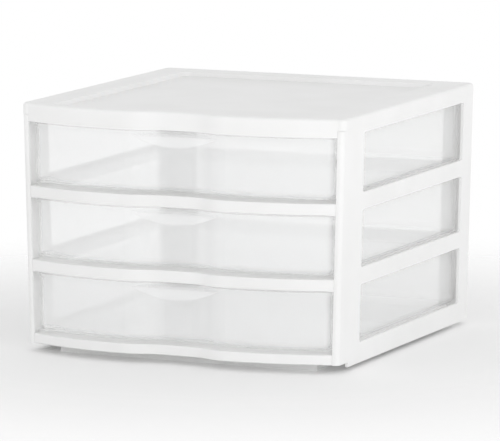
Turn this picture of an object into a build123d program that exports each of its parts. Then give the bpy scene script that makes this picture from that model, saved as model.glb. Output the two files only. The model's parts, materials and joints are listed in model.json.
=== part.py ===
from build123d import *
import math
import os

# Desktop storage unit: a white frame of panels and rails that plug together, and three clear drawers.
# Millimetres. X runs across, +Y to the back and +Z up, with the origin under the middle of the unit.

# Overall size
overall_width = 363.0
overall_depth = 376.5
overall_height = 260.0

# Wave of the front, shared by the top panel, the rails and the drawers
bow_depth = 20.5
crest_offset = 56.6
scoop_depth = 8.7
scoop_floor_half = 15.0

# Levels, from the base up
foot_height = 4.5
base_rail_lift = 5.0
base_rail_height = 10.5
lower_opening_height = 64.6
rail_height = 12.5
fascia_height = 19.1

# Top panel
panel_wall = 2.5
skirt_height = 12.0
skirt_overhang = 1.0
panel_corner_radius = 7.0
panel_edge_radius = 3.5
tray_depth = 5.0
side_rim_width = 35.5
rear_rim_width = 29.0
front_rim_width = 13.0
tray_corner_radius = 9.0
tray_edge_radius = 1.2
tray_rib_count = 4
tray_rib_height = 3.0

# Side frames
side_wall = 3.0
side_lean = 6.2
post_face_width = 7.0
front_post_depth = 53.5
rear_post_depth = 29.0
rear_flange_width = 33.0
front_corner_radius = 5.0
rear_corner_radius = 3.5
toe_depth = 25.0
window_sill_height = 5.8
window_head_rise = 0.8
window_corner_radius = 3.0
top_flange_width = 9.0
tongue_wall = 2.5
runner_wall = 2.5
runner_bearing = 8.0
guide_height = 2.7
guide_wall = 2.0
socket_wall = 2.0

# Rails
rail_wall = 2.5
rail_depth = 22.5
rear_rail_depth = 15.0
rail_edge_radius = 1.2
rail_tongue_length = 14.0
rail_rib_count = 5

# Drawers
drawer_wall = 2.0
drawer_floor = 2.4
drawer_setback = 5.0
drawer_side_gap = 4.0
drawer_rear_gap = 1.0
drawer_top_gap = 1.5
drawer_under_gap = 2.0
drawer_corner_radius = 9.5
drawer_bottom_radius = 9.0
drawer_rim_width = 1.5
drawer_rim_height = 3.0
drawer_travel = 240.0
lug_height = 6.0
lug_length = 12.0
lug_wall = 2.5

# Pull lip on each drawer front
lip_half_span = 53.0
lip_drop = 15.5
lip_end_drop = 1.0
lip_slope_drop = 4.0
lip_wall = 2.0
lip_recess = 2.5

# Clearances
fit_gap = 0.2
seat_gap = 0.1
slide_gap = 0.3
nest_gap = 1.5

# Nearness within which an edge or corner counts as lying on a line
pick_gap = 0.1

# Places worked out from the sizes above
front_y = bow_depth - overall_depth / 2
back_y = overall_depth / 2
skirt_bottom = overall_height - skirt_height
fascia_bottom = overall_height - fascia_height
base_rail_bottom = foot_height + base_rail_lift
base_rail_top = base_rail_bottom + base_rail_height
lower_rail_bottom = base_rail_top + lower_opening_height
lower_rail_top = lower_rail_bottom + rail_height
upper_rail_bottom = lower_rail_top + lower_opening_height
upper_rail_top = upper_rail_bottom + rail_height
openings = (
    (base_rail_top, lower_rail_bottom),
    (lower_rail_top, upper_rail_bottom),
    (upper_rail_top, fascia_bottom),
)
base_rail = (base_rail_bottom, base_rail_top)
lower_rail = (lower_rail_bottom, lower_rail_top)
upper_rail = (upper_rail_bottom, upper_rail_top)
tray_half = overall_width / 2 - side_rim_width
tray_back = back_y - rear_rim_width
foot_half = tray_half - nest_gap
rear_foot_half = tray_half - tray_corner_radius
foot_front = front_y + front_rim_width + nest_gap
foot_back = tray_back - nest_gap
rail_back = front_y + rail_depth
drawer_back = back_y - side_wall - drawer_rear_gap


def side_half(level):
    """Half width over the side frames, which stand closer together at the base."""
    share = (overall_height - level) / (overall_height - foot_height)
    return overall_width / 2 - skirt_overhang - side_lean * share


def drawer_half(level):
    """Half width of the drawer whose opening starts at this level."""
    return side_half(level) - post_face_width - drawer_side_gap


def block(left, right, front, back, bottom, top):
    box = Box(right - left, back - front, top - bottom, align=(Align.MIN, Align.MIN, Align.MIN))
    return Pos(left, front, bottom) * box


def leaning(bottom, top, front, back, outer, inner):
    """Block that leans with the right side frame, between two insets from its outside."""
    corners = [
        (side_half(bottom) - inner, front, bottom),
        (side_half(bottom) - outer, front, bottom),
        (side_half(top) - outer, front, top),
        (side_half(top) - inner, front, top),
    ]
    return extrude(make_face(Polyline(corners, close=True)), back - front, dir=(0, 1, 0))


def both_sides(piece):
    return [piece, mirror(piece, about=Plane.YZ)]


def between_frames(bottom, top, front, back, inset):
    """Block from one side frame to the other, with ends that lean with them."""
    corners = [
        (side_half(bottom) - inset, front, bottom),
        (side_half(top) - inset, front, top),
        (inset - side_half(top), front, top),
        (inset - side_half(bottom), front, bottom),
    ]
    return extrude(make_face(Polyline(corners, close=True)), back - front, dir=(0, 1, 0))


def wave_half(level):
    """Distance from the middle to where the wave meets the posts."""
    return side_half(level) - post_face_width


def wave_region(level, setback, half_width, back):
    """Flat region behind the front wave of a level, out to a half width and a back line."""
    start = front_y + setback
    crest = (crest_offset, start - bow_depth)
    floor = (scoop_floor_half, start - bow_depth + scoop_depth)
    turn = ((crest[0] + floor[0]) / 2, (crest[1] + floor[1]) / 2)
    end = (wave_half(level), start)
    far = overall_width
    right = [
        TangentArc(floor, turn, tangent=(1, 0)),
        TangentArc(crest, turn, tangent=(-1, 0)),
        TangentArc(crest, end, tangent=(1, 0)),
        Line(end, (far, start)),
        Line((far, start), (far, back)),
    ]
    left = [mirror(edge, about=Plane.YZ) for edge in right]
    middle = [Line((-floor[0], floor[1]), floor), Line((-far, back), (far, back))]
    wide = make_face(right + left + middle)
    limit_front = start - 2 * bow_depth
    limit = Pos(0, (limit_front + back) / 2) * Rectangle(2 * half_width, back - limit_front)
    return wide & limit


def rounded_region(level, setback, half_width, back, radius):
    """Flat region behind the wave, with rounded corners at its outer side lines."""
    region = wave_region(level, setback, half_width, back)
    corners = [v for v in region.vertices() if abs(abs(v.X) - half_width) < pick_gap]
    return fillet(corners, radius)


def raised(region, bottom, top):
    return extrude(Pos(0, 0, bottom) * region, top - bottom, dir=(0, 0, 1))


def front_edges(piece, level):
    """Long edges of the waved face at one level."""
    return [
        e for e in piece.edges()
        if abs(e.center().Z - level) < pick_gap
        and e.bounding_box().size.Z < pick_gap
        and abs(e.center().X) < wave_half(level)
        and e.center().Y < front_y + pick_gap
        and e.length > rail_wall + pick_gap
    ]


# Frame


def top_panel():
    top = overall_height
    outline = rounded_region(top, 0, overall_width / 2, back_y, panel_corner_radius)
    shell = raised(outline, skirt_bottom, top)
    rim_edges = [e for e in shell.edges() if abs(e.center().Z - top) < pick_gap]
    shell = fillet(rim_edges, panel_edge_radius)
    inner = rounded_region(top, panel_wall, overall_width / 2 - panel_wall, back_y - panel_wall,
                           panel_corner_radius - panel_wall)
    shell -= raised(inner, skirt_bottom, top - panel_wall)
    shell += tray_pan()
    shell += fascia()
    shell += tray_ribs()
    tray = rounded_region(top, front_rim_width, tray_half, tray_back, tray_corner_radius)
    shell -= raised(tray, top - tray_depth, top)
    mouth = shell.faces().filter_by(Plane.XY).sort_by(Axis.Z)[-1].inner_wires()
    return fillet(mouth.edges(), tray_edge_radius)


def tray_pan():
    """Walls and floor under the tray, which follows the wave at its front."""
    pan = rounded_region(overall_height, front_rim_width - panel_wall, tray_half + panel_wall,
                         tray_back + panel_wall, tray_corner_radius + panel_wall)
    return raised(pan, overall_height - tray_depth - panel_wall, overall_height - panel_wall / 2)


def fascia():
    """Waved channel over the top drawer, between the front posts."""
    top = overall_height
    inset = post_face_width + fit_gap
    reach = front_y - bow_depth
    solid = raised(wave_region(top, 0, overall_width, rail_back), fascia_bottom, top - panel_edge_radius)
    hollow = raised(wave_region(top, panel_wall, overall_width, rail_back - panel_wall), fascia_bottom, top)
    ends_cut = between_frames(fascia_bottom, top, reach, rail_back, inset)
    core_cut = between_frames(fascia_bottom, top, reach, rail_back, inset + panel_wall)
    return (solid & ends_cut) - (hollow & core_cut)


def tray_ribs():
    top = overall_height - tray_depth - panel_wall / 2
    bottom = overall_height - tray_depth - panel_wall - tray_rib_height
    step = 2 * tray_half / (tray_rib_count + 1)
    places = [-tray_half + step * (i + 1) for i in range(tray_rib_count)]
    front = rail_back - panel_wall / 2
    return [block(x - panel_wall / 2, x + panel_wall / 2, front, tray_back, bottom, top) for x in places]


def side_frame():
    """Right side frame, with its posts, windows, runners and sockets."""
    top = skirt_bottom - fit_gap
    frame = leaning(foot_height, top, front_y, back_y, 0, side_wall)
    frame += leaning(foot_height, top, front_y, front_y + side_wall, 0, post_face_width)
    frame += leaning(foot_height, top, back_y - side_wall, back_y, 0, rear_flange_width)
    middle_half = side_half((foot_height + top) / 2)
    frame = round_post(frame, middle_half, front_y, front_corner_radius)
    frame = round_post(frame, middle_half, back_y, rear_corner_radius)
    frame -= block(0, overall_width, front_y, front_y + toe_depth, foot_height, base_rail_bottom)
    frame += top_tongue(top)
    for opening in openings:
        frame -= window(*opening)
    frame += runner(lower_rail_top)
    frame += runner(upper_rail_top)
    frame += base_channel()
    frame += sockets()
    return frame


def round_post(frame, x, y, radius):
    """Rounds the long outer edge whose middle is at x, y."""
    corner = [
        e for e in frame.edges()
        if abs(e.center().X - x) < pick_gap and abs(e.center().Y - y) < pick_gap
        and e.length > overall_height / 2
    ]
    return fillet(corner, radius)


def top_tongue(top):
    """Flange under the skirt and the upright that the top panel drops over."""
    outer = panel_wall - skirt_overhang + 2 * fit_gap
    front = front_y + panel_corner_radius
    back = back_y - panel_corner_radius
    flange = leaning(top - side_wall, top, rail_back + fit_gap, back_y - side_wall,
                     side_wall / 2, top_flange_width)
    upright = leaning(top - side_wall, overall_height - panel_wall - seat_gap, front, back,
                      outer, outer + tongue_wall)
    return [flange, upright]


def window(sill, head):
    """Rounded window through a side, between its posts."""
    front = front_y + front_post_depth
    back = back_y - rear_post_depth
    bottom = sill + window_sill_height
    top = head + window_head_rise
    outline = Pos((front + back) / 2, (bottom + top) / 2) * RectangleRounded(
        back - front, top - bottom, window_corner_radius)
    return extrude(Plane.YZ * outline, overall_width, dir=(1, 0, 0))


def guide_inset():
    """Inset of a guide rib, which stands beside the rounded lower edge of the drawer."""
    rise = min(guide_height, drawer_bottom_radius)
    drop = drawer_bottom_radius - rise
    round_in = drawer_bottom_radius - math.sqrt(drawer_bottom_radius ** 2 - drop ** 2)
    return post_face_width + drawer_side_gap + round_in - 2 * slide_gap


def runner(sill):
    """Ledge that carries one side of a drawer, with its guide rib."""
    top = sill + drawer_under_gap - slide_gap
    front = rail_back + fit_gap
    back = back_y - rear_rail_depth - fit_gap
    inner = post_face_width + drawer_side_gap + drawer_bottom_radius + runner_bearing
    ledge = leaning(top - runner_wall, top, front, back, side_wall / 2, inner)
    return [ledge, guide_rib(top, sill, front, back)]


def guide_rib(top, sill, front, back):
    inner = guide_inset() + side_half(top) - side_half(sill)
    return leaning(top - runner_wall / 2, top + guide_height, front, back, inner - guide_wall, inner)


def base_channel():
    """Runner of the bottom drawer, which turns down into the foot of the unit."""
    top = base_rail_top + drawer_under_gap - slide_gap
    front = foot_front + rail_wall + fit_gap
    back = foot_back - rail_wall - fit_gap
    inner = side_half(top) - foot_half + rail_wall / 2
    ledge = leaning(top - runner_wall, top, front, back, side_wall / 2, inner)
    foot = block(foot_half - rail_wall, foot_half, front, back, 0, top)
    return [ledge, foot, guide_rib(top, base_rail_top, front, back)]


def sockets():
    """Ribs behind the post faces and on the rear flanges, which hold the ends of the rails."""
    ribs = []
    front = front_y + side_wall + rail_wall + 2 * fit_gap
    for bottom, top in (base_rail, lower_rail, upper_rail):
        ribs.append(leaning(bottom, top, front, front + socket_wall, side_wall / 2, post_face_width))
        ribs += rear_sockets(bottom, top)
    return ribs


def rear_sockets(bottom, top):
    """Shelves above and below the end of a rear rail."""
    front = back_y - side_wall - rail_wall - 2 * fit_gap
    back = back_y - side_wall / 2
    inner = rear_flange_width
    outer = rear_flange_width - rail_tongue_length - fit_gap
    return [
        leaning(bottom, bottom + socket_wall, front, back, outer, inner),
        leaning(top - socket_wall, top, front, back, outer, inner),
        leaning(bottom, top, front, back, outer - socket_wall, outer),
    ]


# Rails


def end_tongues(bottom, top, front, outer, inner):
    return both_sides(leaning(bottom, top, front, front + rail_wall, outer, inner))


def rail_ribs(bottom, top, front, back):
    """Cross ribs inside a rail."""
    reach = wave_half(bottom) - rail_wall
    step = 2 * reach / (rail_rib_count + 1)
    places = [-reach + step * (i + 1) for i in range(rail_rib_count)]
    return [block(x - rail_wall / 2, x + rail_wall / 2, front, back, bottom, top) for x in places]


def front_rail(bottom, top, back):
    """Waved channel with a tongue at each end, which goes behind the face of the post."""
    level = (bottom + top) / 2
    inset = post_face_width + fit_gap
    reach = front_y - bow_depth
    rail = raised(wave_region(level, 0, overall_width, back), bottom, top)
    rail &= between_frames(bottom, top, reach, back, inset)
    rail = fillet(front_edges(rail, top) + front_edges(rail, bottom), rail_edge_radius)
    hollow = raised(wave_region(level, rail_wall, overall_width, back - rail_wall), bottom, top - rail_wall)
    rail -= hollow & between_frames(bottom, top, reach, back, inset + rail_wall)
    inside = raised(wave_region(level, rail_wall / 2, overall_width, back - rail_wall / 2), bottom, top)
    rail += [rib & inside for rib in rail_ribs(bottom + rail_wall, top - rail_wall / 2, reach, back)]
    rail += end_tongues(bottom + fit_gap, top - fit_gap, front_y + side_wall + fit_gap,
                        side_wall + fit_gap, inset + rail_wall)
    return rail


def base_front_rail():
    back = foot_front + rail_wall
    foot = block(-foot_half, foot_half, foot_front, back, 0, base_rail_top - rail_wall / 2)
    return front_rail(*base_rail, back) + foot


def rear_rail(bottom, top, front):
    """Straight channel with a tongue at each end, which goes in front of the rear flange."""
    inset = rear_flange_width + fit_gap
    rail = between_frames(bottom, top, front, back_y, inset)
    rear_edges = [
        e for e in rail.edges()
        if abs(e.center().Y - back_y) < pick_gap and e.bounding_box().size.Z < pick_gap
    ]
    rail = fillet(rear_edges, rail_edge_radius)
    rail -= between_frames(bottom, top - rail_wall, front + rail_wall, back_y - rail_wall, inset + rail_wall)
    rail += rail_ribs(bottom + rail_wall, top - rail_wall / 2, front + rail_wall / 2, back_y - rail_wall / 2)
    tongue_front = back_y - side_wall - rail_wall - fit_gap
    low = bottom + socket_wall + fit_gap
    high = top - socket_wall - fit_gap
    rail += end_tongues(low, high, tongue_front, rear_flange_width - rail_tongue_length, inset + rail_wall)
    return rail


def base_rear_rail():
    """Rear rail with a foot that stops short of the tray's rounded corners, so that units stack."""
    front = foot_back - rail_wall
    foot = block(-rear_foot_half, rear_foot_half, front, foot_back, 0, base_rail_top - rail_wall / 2)
    return rear_rail(*base_rail, front) + foot


# Drawers


def pull_lip(top):
    """Crescent lip that bridges the scoop: it slopes forward, then hangs down."""
    root = front_y - bow_depth + scoop_depth + drawer_setback
    face = front_y - bow_depth + lip_recess
    section = [
        (-lip_half_span, root + drawer_wall, top),
        (-lip_half_span, root, top),
        (-lip_half_span, face, top - lip_slope_drop),
        (-lip_half_span, face, top - lip_drop),
        (-lip_half_span, face + lip_wall, top - lip_drop),
        (-lip_half_span, face + lip_wall, top - lip_slope_drop - lip_wall),
        (-lip_half_span, root + drawer_wall, top - lip_wall),
    ]
    sheet = extrude(make_face(Polyline(section, close=True)), 2 * lip_half_span, dir=(1, 0, 0))
    low = top - lip_end_drop
    left, right = (-lip_half_span, face, low), (lip_half_span, face, low)
    left_top, right_top = (-lip_half_span, face, top), (lip_half_span, face, top)
    lens = make_face([
        ThreePointArc(left, (0, face, top - lip_drop), right),
        Line(right, right_top), Line(right_top, left_top), Line(left_top, left),
    ])
    return sheet & extrude(lens, root + 2 * drawer_wall - face, dir=(0, 1, 0))


def stop_lugs(half, top):
    """Upright lugs that meet the back of the rail or fascia above when the drawer is pulled out."""
    front = rail_back + drawer_travel + slide_gap
    lug = block(half - drawer_wall / 2, half - drawer_wall / 2 + lug_wall, front, front + lug_length,
                top - drawer_rim_height, top + lug_height)
    return both_sides(lug)


def drawer(sill, head):
    """Clear tub with rounded lower edges, a rim, a pull lip and two stop lugs."""
    level = (sill + head) / 2
    half = drawer_half(sill)
    bottom = sill + drawer_under_gap
    top = head - drawer_top_gap
    back = drawer_back - drawer_rim_width
    tub = raised(rounded_region(level, drawer_setback, half, back, drawer_corner_radius), bottom, top)
    tub = fillet([e for e in tub.edges() if abs(e.center().Z - bottom) < pick_gap], drawer_bottom_radius)
    rim = rounded_region(level, drawer_setback - drawer_rim_width, half + drawer_rim_width, drawer_back,
                         drawer_corner_radius + drawer_rim_width)
    tub += raised(rim, top - drawer_rim_height, top)
    tub += pull_lip(top)
    inner = rounded_region(level, drawer_setback + drawer_wall, half - drawer_wall, back - drawer_wall,
                           drawer_corner_radius - drawer_wall)
    cavity = raised(inner, bottom + drawer_floor, top + drawer_wall)
    floor_edges = [e for e in cavity.edges() if abs(e.center().Z - bottom - drawer_floor) < pick_gap]
    tub -= fillet(floor_edges, drawer_bottom_radius - drawer_wall)
    return tub + stop_lugs(half, top)


def all_parts():
    right = side_frame()
    low, middle, high = openings
    rear_front = back_y - rear_rail_depth
    return {
        "top_panel": top_panel(),
        "right_side_frame": right,
        "left_side_frame": mirror(right, about=Plane.YZ),
        "upper_front_rail": front_rail(*upper_rail, rail_back),
        "lower_front_rail": front_rail(*lower_rail, rail_back),
        "base_front_rail": base_front_rail(),
        "upper_rear_rail": rear_rail(*upper_rail, rear_front),
        "lower_rear_rail": rear_rail(*lower_rail, rear_front),
        "base_rear_rail": base_rear_rail(),
        "top_drawer": drawer(*high),
        "middle_drawer": drawer(*middle),
        "bottom_drawer": drawer(*low),
    }


os.makedirs("parts", exist_ok=True)
for name, shape in all_parts().items():
    export_step(shape, f"parts/{name}.step")
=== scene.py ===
import json
import math

import bpy
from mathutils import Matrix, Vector

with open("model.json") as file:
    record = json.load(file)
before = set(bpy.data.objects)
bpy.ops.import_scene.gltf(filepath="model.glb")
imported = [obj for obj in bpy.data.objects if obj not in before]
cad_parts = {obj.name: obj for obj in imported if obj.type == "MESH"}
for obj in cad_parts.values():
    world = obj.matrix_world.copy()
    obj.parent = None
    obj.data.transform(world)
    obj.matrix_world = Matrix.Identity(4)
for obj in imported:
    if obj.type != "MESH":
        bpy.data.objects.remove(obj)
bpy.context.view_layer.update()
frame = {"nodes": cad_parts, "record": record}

# Camera: the photograph's viewing angle on one unit, for an image of 500 by 441
VIEW_AZIMUTH = 24.02
VIEW_ELEVATION = 8.24
VIEW_DISTANCE = 5.055
VIEW_TARGET = Vector((-0.0014, 0.0082, 0.1243))
LENS_MM = 345.8
SENSOR_MM = 36.0

# Light: a plain level, at which a colour renders about as it is written
HORIZON_LEVEL = 1.15
ZENITH_LEVEL = 0.55
KEY_WATTS = 14.0
KEY_AZIMUTH = 46.0
KEY_ELEVATION = 12.0
KEY_DISTANCE = 2.8
KEY_SIZE = 1.6

# Noise: how fine and how detailed each pattern is, and the part of its range that a tone runs over
FLOW_NOISE = (14.0, 2.0)
GRAIN_NOISE = (1500.0, 2.0)
RIPPLE_NOISE = (28.0, 1.0)
HAZE_NOISE = (700.0, 2.0)
TONE_PLACES = (0.35, 0.65)

# White frame: darkest and lightest tone, range of roughness, and strength and depth of the relief
PLASTIC_IOR = 1.49
FRAME_TONES = ((0.90, 0.90, 0.895), (0.93, 0.93, 0.928))
FRAME_ROUGHNESS = (0.36, 0.46)
FRAME_RELIEF = (0.12, 0.0001)

# Clear drawers: the same, and how fast a surface counts as slanted
DRAWER_TONES = ((0.975, 0.978, 0.98), (0.99, 0.993, 0.995))
DRAWER_ROUGHNESS = (0.08, 0.14)
DRAWER_RELIEF = (0.10, 0.0006)
DRAWER_SLANT_BLEND = 0.4

# Each skin's opacity and share of the painted edge shade, from seen straight on (0) to edge-on (1)
DRAWER_OPACITY = ((0.0, 0.34), (0.65, 0.19), (1.0, 0.70))
DRAWER_PAINTED_EDGE_SHARE = ((0.0, 0.0), (0.65, 0.0), (1.0, 1.0))
# Painted grey shade on edge-on faces, standing in for the dark surroundings that clear plastic bends in at
# its edges
DRAWER_PAINTED_EDGE_SHADE = (0.60, 0.62, 0.64)

# What each skin of the drawers takes from the light that passes it
DRAWER_SHADE = 0.07

# Light paths: clear skins that a ray may cross, and turns that light may take inside the unit
CLEAR_SKINS = 32
SOFT_BOUNCES = 10

# Floor: its size, and the distances over which it fades out for light and for the eye
FLOOR_RADIUS = 6.0
FLOOR_SIDES = 96
FLOOR_FADE = (0.9, 3.2)
FLOOR_SEEN_FADE = (0.26, 0.8)
FLOOR_COLOR = (0.93, 0.93, 0.93)
FLOOR_SEEN_COLOR = (1.08, 1.08, 1.08)
FLOOR_ROUGHNESS = 0.9


def new_material(name):
    """Material with a principled shader on its output: the material, its nodes, its links and the shader."""
    material = bpy.data.materials.new(name)
    material.use_nodes = True
    nodes, links = material.node_tree.nodes, material.node_tree.links
    nodes.clear()
    output = nodes.new("ShaderNodeOutputMaterial")
    shader = nodes.new("ShaderNodeBsdfPrincipled")
    links.new(shader.outputs["BSDF"], output.inputs["Surface"])
    return material, nodes, links, shader


def noise(nodes, links, scale, detail):
    """Noise over the object's own metres, so that it stays on the piece when it moves."""
    place = nodes.new("ShaderNodeTexCoord")
    texture = nodes.new("ShaderNodeTexNoise")
    texture.inputs["Scale"].default_value = scale
    texture.inputs["Detail"].default_value = detail
    links.new(place.outputs["Object"], texture.inputs["Vector"])
    return texture.outputs["Fac"]


def tone(nodes, links, factor, dark, light):
    """Colour that runs from dark to light over the middle of the noise."""
    ramp = nodes.new("ShaderNodeValToRGB")
    for element, place, color in zip(ramp.color_ramp.elements, TONE_PLACES, (dark, light)):
        element.position = place
        element.color = (*color, 1)
    links.new(factor, ramp.inputs["Fac"])
    return ramp.outputs["Color"]


def graded(nodes, links, factor, stops):
    """Grey value that runs through the stops, each a place from 0 to 1 and its value."""
    ramp = nodes.new("ShaderNodeValToRGB")
    elements = ramp.color_ramp.elements
    while len(elements) < len(stops):
        elements.new(1)
    for element, (place, value) in zip(elements, stops):
        element.position = place
        element.color = (value, value, value, 1)
    links.new(factor, ramp.inputs["Fac"])
    return ramp.outputs["Color"]


def spread(nodes, links, factor, low, high):
    span = nodes.new("ShaderNodeMapRange")
    span.inputs["To Min"].default_value = low
    span.inputs["To Max"].default_value = high
    links.new(factor, span.inputs["Value"])
    return span.outputs["Result"]


def bump(nodes, links, height, strength, distance):
    relief = nodes.new("ShaderNodeBump")
    relief.inputs["Strength"].default_value = strength
    relief.inputs["Distance"].default_value = distance
    links.new(height, relief.inputs["Height"])
    return relief.outputs["Normal"]


def toward(nodes, links, factor, color):
    """Node that mixes its own first colour with this one, by the factor."""
    mix = nodes.new("ShaderNodeMix")
    mix.data_type = "RGBA"
    mix.inputs["B"].default_value = (*color, 1)
    links.new(factor, mix.inputs["Factor"])
    return mix


def combine(nodes, links, operation, first, second):
    step = nodes.new("ShaderNodeMath")
    step.operation = operation
    links.new(first, step.inputs[0])
    links.new(second, step.inputs[1])
    return step.outputs["Value"]


def smooth_fade(nodes, links, distance, near, far):
    """0 up to the near distance, 1 from the far one on."""
    fade = nodes.new("ShaderNodeMapRange")
    fade.interpolation_type = "SMOOTHSTEP"
    fade.inputs["From Min"].default_value = near
    fade.inputs["From Max"].default_value = far
    links.new(distance, fade.inputs["Value"])
    return fade.outputs["Result"]


def blend_shaders(nodes, links, factor, first, second, output):
    """Puts the first shader on the output, and the second one where the factor is 1."""
    mix = nodes.new("ShaderNodeMixShader")
    links.new(factor, mix.inputs["Fac"])
    links.new(first, mix.inputs[1])
    links.new(second, mix.inputs[2])
    links.new(mix.outputs["Shader"], output.inputs["Surface"])


def seen_directly(nodes, links):
    """1 for what the camera sees, also in gloss and through clear plastic, and 0 for light on the object."""
    path = nodes.new("ShaderNodeLightPath")
    seen = combine(nodes, links, "MAXIMUM", path.outputs["Is Camera Ray"], path.outputs["Is Glossy Ray"])
    return combine(nodes, links, "MAXIMUM", seen, path.outputs["Is Transmission Ray"])


def frame_plastic():
    """Opaque white moulded plastic: satin, with a fine grain and faint flow marks."""
    material, nodes, links, shader = new_material("frame_white")
    flow = noise(nodes, links, *FLOW_NOISE)
    grain = noise(nodes, links, *GRAIN_NOISE)
    links.new(tone(nodes, links, flow, *FRAME_TONES), shader.inputs["Base Color"])
    links.new(spread(nodes, links, grain, *FRAME_ROUGHNESS), shader.inputs["Roughness"])
    links.new(bump(nodes, links, grain, *FRAME_RELIEF), shader.inputs["Normal"])
    shader.inputs["IOR"].default_value = PLASTIC_IOR
    return material


def drawer_plastic():
    """Clear moulded plastic, slightly milky, with painted grey shade on its edge-on faces, which lets light
    pass.
    """
    material, nodes, links, shader = new_material("drawer_clear")
    ripple = noise(nodes, links, *RIPPLE_NOISE)
    haze = noise(nodes, links, *HAZE_NOISE)
    slant = nodes.new("ShaderNodeLayerWeight")
    slant.inputs["Blend"].default_value = DRAWER_SLANT_BLEND
    facing = slant.outputs["Facing"]
    # Base colour: the milky tone, turned towards a painted grey shade where the surface is seen edge-on
    color = toward(nodes, links, graded(nodes, links, facing, DRAWER_PAINTED_EDGE_SHARE), DRAWER_PAINTED_EDGE_SHADE)
    links.new(tone(nodes, links, haze, *DRAWER_TONES), color.inputs["A"])
    links.new(color.outputs["Result"], shader.inputs["Base Color"])
    links.new(spread(nodes, links, haze, *DRAWER_ROUGHNESS), shader.inputs["Roughness"])
    links.new(bump(nodes, links, ripple, *DRAWER_RELIEF), shader.inputs["Normal"])
    path = nodes.new("ShaderNodeLightPath")
    opacity = nodes.new("ShaderNodeMapRange")
    opacity.inputs["To Min"].default_value = DRAWER_SHADE
    links.new(path.outputs["Is Camera Ray"], opacity.inputs["Value"])
    links.new(graded(nodes, links, facing, DRAWER_OPACITY), opacity.inputs["To Max"])
    links.new(opacity.outputs["Result"], shader.inputs["Alpha"])
    shader.inputs["IOR"].default_value = PLASTIC_IOR
    return material


def floor_material():
    """Pale floor that keeps the object's shadow and fades into the backdrop, sooner where it is seen."""
    material, nodes, links, shader = new_material("floor_pale")
    seen = seen_directly(nodes, links)
    color = toward(nodes, links, seen, FLOOR_SEEN_COLOR)
    color.inputs["A"].default_value = (*FLOOR_COLOR, 1)
    links.new(color.outputs["Result"], shader.inputs["Base Color"])
    shader.inputs["Roughness"].default_value = FLOOR_ROUGHNESS
    shader.inputs["Specular IOR Level"].default_value = 0
    place = nodes.new("ShaderNodeTexCoord")
    length = nodes.new("ShaderNodeVectorMath")
    length.operation = "LENGTH"
    links.new(place.outputs["Object"], length.inputs[0])
    distance = length.outputs["Value"]
    seen_fade = combine(nodes, links, "MULTIPLY", seen, smooth_fade(nodes, links, distance, *FLOOR_SEEN_FADE))
    fade = combine(nodes, links, "MAXIMUM", seen_fade, smooth_fade(nodes, links, distance, *FLOOR_FADE))
    clear = nodes.new("ShaderNodeBsdfTransparent")
    output = next(n for n in nodes if n.type == "OUTPUT_MATERIAL")
    blend_shaders(nodes, links, fade, shader.outputs["BSDF"], clear.outputs["BSDF"], output)
    return material


def white_world():
    """White to the camera and in gloss and clear plastic; as a lamp it is brightest at the horizon."""
    world = bpy.data.worlds.new("studio")
    bpy.context.scene.world = world
    world.use_nodes = True
    nodes, links = world.node_tree.nodes, world.node_tree.links
    nodes.clear()
    output = nodes.new("ShaderNodeOutputWorld")
    backdrop = nodes.new("ShaderNodeBackground")
    lamp = nodes.new("ShaderNodeBackground")
    for background in (backdrop, lamp):
        background.inputs["Color"].default_value = (1, 1, 1, 1)
    way = nodes.new("ShaderNodeTexCoord")
    split = nodes.new("ShaderNodeSeparateXYZ")
    links.new(way.outputs["Generated"], split.inputs["Vector"])
    links.new(spread(nodes, links, split.outputs["Z"], HORIZON_LEVEL, ZENITH_LEVEL), lamp.inputs["Strength"])
    blend_shaders(nodes, links, seen_directly(nodes, links), lamp.outputs["Background"],
                  backdrop.outputs["Background"], output)


def stand(name, data, azimuth, elevation, distance):
    """Object for a lamp or camera that looks at the unit from this side, in degrees and metres."""
    a, e = math.radians(azimuth), math.radians(elevation)
    way = Vector((math.sin(a) * math.cos(e), -math.cos(a) * math.cos(e), math.sin(e)))
    obj = bpy.data.objects.new(name, data)
    bpy.context.scene.collection.objects.link(obj)
    obj.location = VIEW_TARGET + way * distance
    obj.rotation_euler = (VIEW_TARGET - obj.location).to_track_quat("-Z", "Y").to_euler()
    return obj


def key_softbox():
    data = bpy.data.lights.new("key", "AREA")
    data.shape = "SQUARE"
    data.size = KEY_SIZE
    data.energy = KEY_WATTS
    stand("key", data, KEY_AZIMUTH, KEY_ELEVATION, KEY_DISTANCE)


def lay_floor():
    bpy.ops.mesh.primitive_circle_add(vertices=FLOOR_SIDES, radius=FLOOR_RADIUS, fill_type="NGON")
    floor = bpy.context.object
    floor.name = "floor"
    floor.data.materials.append(floor_material())


def place_camera():
    data = bpy.data.cameras.new("camera")
    data.lens = LENS_MM
    data.sensor_width = SENSOR_MM
    bpy.context.scene.camera = stand("camera", data, VIEW_AZIMUTH, VIEW_ELEVATION, VIEW_DISTANCE)


def dress(finishes):
    """Gives each CAD node the finish of its material slot."""
    for part in frame["record"]["subparts"]:
        node = frame["nodes"][part["node"]]
        node.data.materials.clear()
        node.data.materials.append(finishes[part["material_slot"]])


dress({"frame_white": frame_plastic(), "drawer_clear": drawer_plastic()})
white_world()
key_softbox()
lay_floor()
place_camera()
bpy.context.scene.view_settings.view_transform = "Standard"
bpy.context.scene.cycles.transparent_max_bounces = CLEAR_SKINS
bpy.context.scene.cycles.diffuse_bounces = SOFT_BOUNCES
